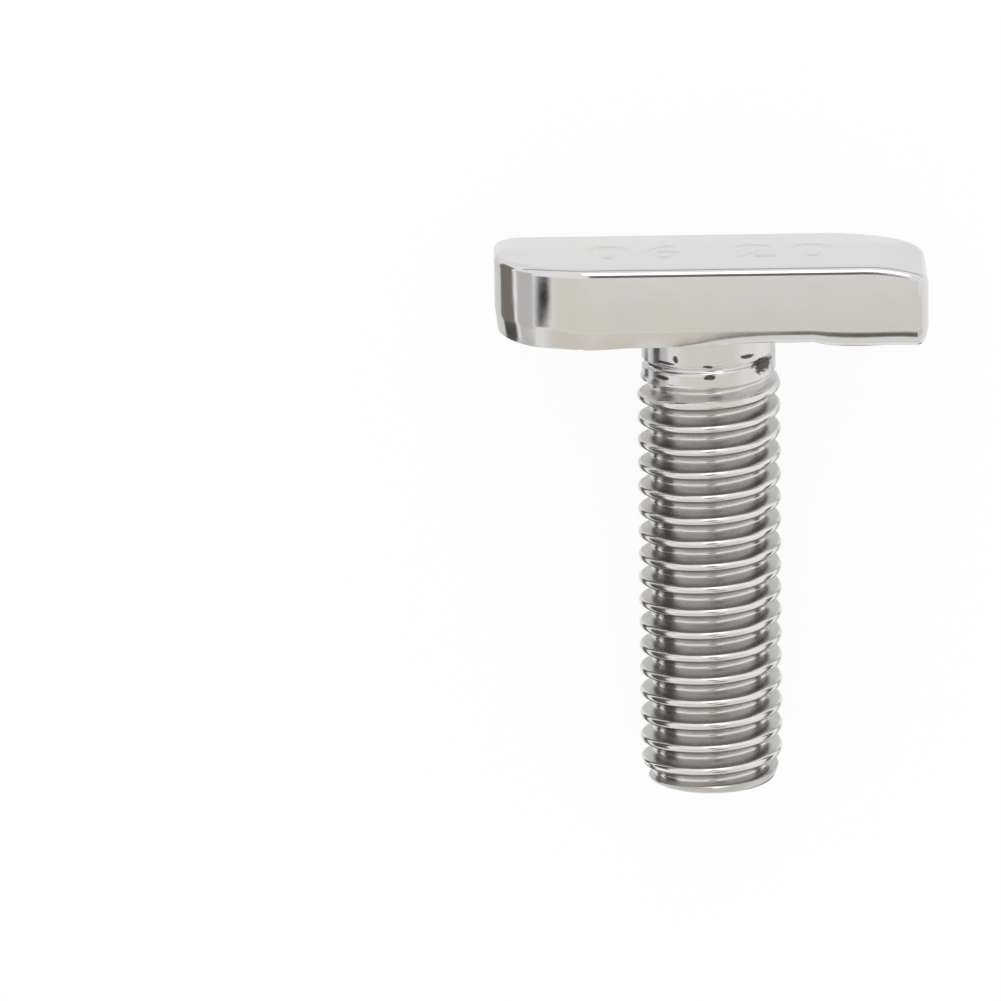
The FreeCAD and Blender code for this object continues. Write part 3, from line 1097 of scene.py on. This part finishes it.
def make_lamp(look):
    """One soft square lamp beyond the head, turned to the bolt."""
    deselect()
    aim = (-LAMP_PLACE).to_track_quat("-Z", "Y").to_euler()
    bpy.ops.object.light_add(type="AREA", location=LAMP_PLACE, rotation=aim)
    lamp = bpy.context.object
    lamp.name = "soft_box"
    lamp.data.shape = "SQUARE"
    lamp.data.size = look.lamp_size
    lamp.data.energy = look.lamp_power


def make_world(look):
    """An even pale room, a little brighter beyond the head than beyond the point."""
    world = bpy.data.worlds.new("pale_room")
    bpy.context.scene.world = world
    world.use_nodes = True
    nodes = Palette(world.node_tree)
    _, y, _ = nodes.parts(nodes.add("ShaderNodeTexCoord", output="Generated"))
    tint = nodes.blend(nodes.spread(y, *ROOM_EDGE), solid(look.room_dark), solid(look.room_pale))
    light = nodes.add("ShaderNodeBackground", None, {"Color": tint, "Strength": 1.0})
    nodes.add("ShaderNodeOutputWorld", None, {"Surface": light})


def make_camera(sizes, look):
    """The camera at the photograph's angle, a long lens looking down on the lying bolt."""
    along = Vector((0, math.cos(look.rise), -math.sin(look.rise)))
    right = Vector(RIGHT)
    up = Vector((0, math.sin(look.rise), math.cos(look.rise)))
    cos = math.cos(look.roll)
    sin = math.sin(look.roll)
    camera_right = cos * right - sin * up
    camera_up = sin * right + cos * up
    spot = Vector((-look.left, 0, -look.below)) - along * look.distance
    turned = Matrix((camera_right, camera_up, -along)).transposed().to_4x4()
    deselect()
    bpy.ops.object.camera_add()
    camera = bpy.context.object
    camera.name = "photo_camera"
    camera.matrix_world = lying_down(sizes) @ Matrix.Translation(spot) @ turned
    camera.data.sensor_width = SENSOR_MM
    camera.data.lens = look.scale * look.distance / MM * SENSOR_MM / IMAGE_SIZE
    camera.data.clip_start = NEAREST_SEEN
    camera.data.clip_end = FARTHEST_SEEN
    bpy.context.scene.camera = camera


class BOLT_OT_piece(bpy.types.Operator):
    """Forges the bolt: its head, its threaded shank and its polished finish"""

    bl_idname = "bolt.piece"
    bl_label = "Forge the bolt"

    def execute(self, context):
        sizes = context.scene.bolt_sizes
        shank = make_shank(sizes)
        head = make_head(sizes, context.scene.bolt_stamp)
        bolt = forge(head, shank)
        finish_shape(bolt, sizes)
        bolt.data.materials.clear()
        bolt.data.materials.append(polished_steel(sizes, context.scene.bolt_steel))
        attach(bolt, BODY)
        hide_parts(NODE)
        return {"FINISHED"}


class BOLT_OT_stage(bpy.types.Operator):
    """Sets the floor, the room, the lamp, the cards and the camera"""

    bl_idname = "bolt.stage"
    bl_label = "Set the stage"

    def execute(self, context):
        sizes = context.scene.bolt_sizes
        look = context.scene.bolt_stage
        make_floor(look)
        make_world(look)
        make_lamp(look)
        make_flags(sizes)
        make_side_cards()
        make_camera(sizes, look)
        return {"FINISHED"}


class BOLT_PT_panel(bpy.types.Panel):
    """The bolt's sizes, looks and steps"""

    bl_label = "T-slot bolt"
    bl_idname = "BOLT_PT_panel"
    bl_space_type = "VIEW_3D"
    bl_region_type = "UI"
    bl_category = "T-slot bolt"

    def draw(self, context):
        layout = self.layout
        for kind in OPERATORS:
            layout.operator(kind.bl_idname)
        for name in GROUPS:
            box = layout.box()
            group = getattr(context.scene, name)
            for item in group.__annotations__:
                box.prop(group, item)


GROUPS = {
    "bolt_sizes": BoltSizes,
    "bolt_stamp": StampLook,
    "bolt_steel": SteelLook,
    "bolt_stage": StageLook,
}
OPERATORS = (BOLT_OT_piece, BOLT_OT_stage)


def register():
    """Adds the bolt's settings, steps and panel."""
    for name, group in GROUPS.items():
        bpy.utils.register_class(group)
        setattr(bpy.types.Scene, name, PointerProperty(type=group))
    for kind in OPERATORS:
        bpy.utils.register_class(kind)
    bpy.utils.register_class(BOLT_PT_panel)


def unregister():
    """Takes the panel, the steps and the settings away."""
    bpy.utils.unregister_class(BOLT_PT_panel)
    for kind in reversed(OPERATORS):
        bpy.utils.unregister_class(kind)
    for name, group in GROUPS.items():
        delattr(bpy.types.Scene, name)
        bpy.utils.unregister_class(group)


def main():
    """Builds the bolt and its stage."""
    register()
    bpy.ops.bolt.piece()
    bpy.ops.bolt.stage()
    bpy.context.scene.view_settings.view_transform = "Standard"


if __name__ == "__main__":
    main()
